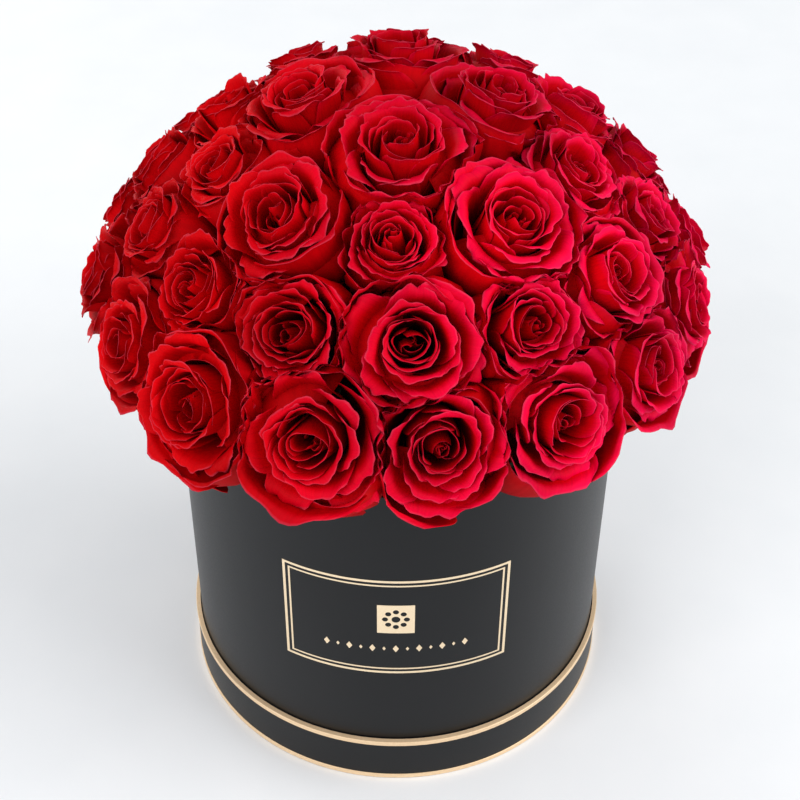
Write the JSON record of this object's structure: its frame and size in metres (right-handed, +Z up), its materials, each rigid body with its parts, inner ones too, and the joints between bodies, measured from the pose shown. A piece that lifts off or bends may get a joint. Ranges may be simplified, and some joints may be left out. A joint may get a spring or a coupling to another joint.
{
  "type": "flower box",
  "caption": "Round paper-wrapped flower box standing in its upturned lid, with a foil label and a dome of red roses set in foam in a lift-out liner pot.",
  "frame": {"origin": "on the axis of the box, at the surface that the upturned lid stands on", "axes": "+Z up along the axis of the box, -Y out of the front, where the label is, +X to the right seen from the front"},
  "size_m": [0.2898, 0.2898, 0.3451],
  "materials": {
    "black_paper": "matte",
    "lining_paper": "matte",
    "grey_board": "matte",
    "gold_trim": "satin",
    "gold_foil": "gloss",
    "liner_plastic": "satin",
    "flower_foam": "matte",
    "rose_petals": "matte",
    "calyx_green": "matte",
    "stem_green": "satin"
  },
  "bodies": {
    "lid_tray": {"lid_face_paper": "black_paper", "lid_face_board": "grey_board", "lid_wall_board": "grey_board", "lid_wall_wrap": "black_paper", "lid_lining": "lining_paper", "lid_rim_trim": "gold_trim", "lid_edge_trim": "gold_trim"},
    "box": {"box_wall_board": "grey_board", "box_base_board": "grey_board", "box_base_paper": "black_paper", "box_wall_wrap": "black_paper", "box_wall_lining": "lining_paper", "box_floor_lining": "lining_paper", "label_outer_frame": "gold_foil", "label_inner_frame": "gold_foil", "label_emblem": "gold_foil", "label_ornaments": "gold_foil"},
    "insert": {"liner_pot": "liner_plastic", "foam_base": "flower_foam", "foam_dome": "flower_foam", "rose_heads_ring_1": "rose_petals", "rose_calyxes_ring_1": "calyx_green", "rose_stems_ring_1": "stem_green", "rose_heads_ring_2": "rose_petals", "rose_calyxes_ring_2": "calyx_green", "rose_stems_ring_2": "stem_green", "rose_heads_ring_3": "rose_petals", "rose_calyxes_ring_3": "calyx_green", "rose_stems_ring_3": "stem_green", "rose_heads_ring_4": "rose_petals", "rose_calyxes_ring_4": "calyx_green", "rose_stems_ring_4": "stem_green"}
  },
  "joints": [
    {"name": "box_lift", "type": "slide", "parent": "lid_tray", "child": "box", "axis": [0, 0, 1], "range_m": [0, 0.06]},
    {"name": "insert_lift", "type": "slide", "parent": "box", "child": "insert", "axis": [0, 0, 1], "range_m": [0, 0.2]}
  ]
}
